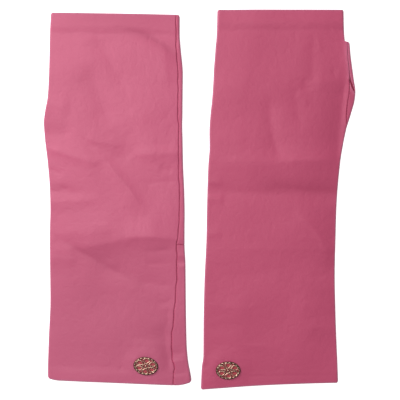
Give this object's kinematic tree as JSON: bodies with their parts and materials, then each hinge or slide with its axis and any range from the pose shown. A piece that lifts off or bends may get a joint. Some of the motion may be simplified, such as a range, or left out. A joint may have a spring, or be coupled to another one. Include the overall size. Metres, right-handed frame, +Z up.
{
  "type": "pair of fingerless leather gloves",
  "caption": "Pair of long fingerless gloves in pink nappa leather, laid flat, with seamed panels, turned hems, a thumb slit and an oval openwork metal plaque by each arm hem.",
  "frame": {"origin": "centre of the pair's box on the surface that the gloves lie on", "axes": "+Y towards the finger openings, +X to the right as seen from above with the finger openings up, +Z up off the surface"},
  "size_m": [0.2382, 0.2899, 0.0065],
  "materials": {
    "leather": "smooth nappa, soft satin sheen",
    "plaque_metal": "cast openwork, pale gold plating, polished"
  },
  "bodies": {
    "root": {"left_back_panel": "leather", "left_palm_hand_panel": "leather", "left_palm_arm_panel": "leather", "left_plaque": "plaque_metal", "right_back_panel": "leather", "right_palm_hand_panel": "leather", "right_palm_arm_panel": "leather", "right_plaque": "plaque_metal"}
  },
  "joints": []
}
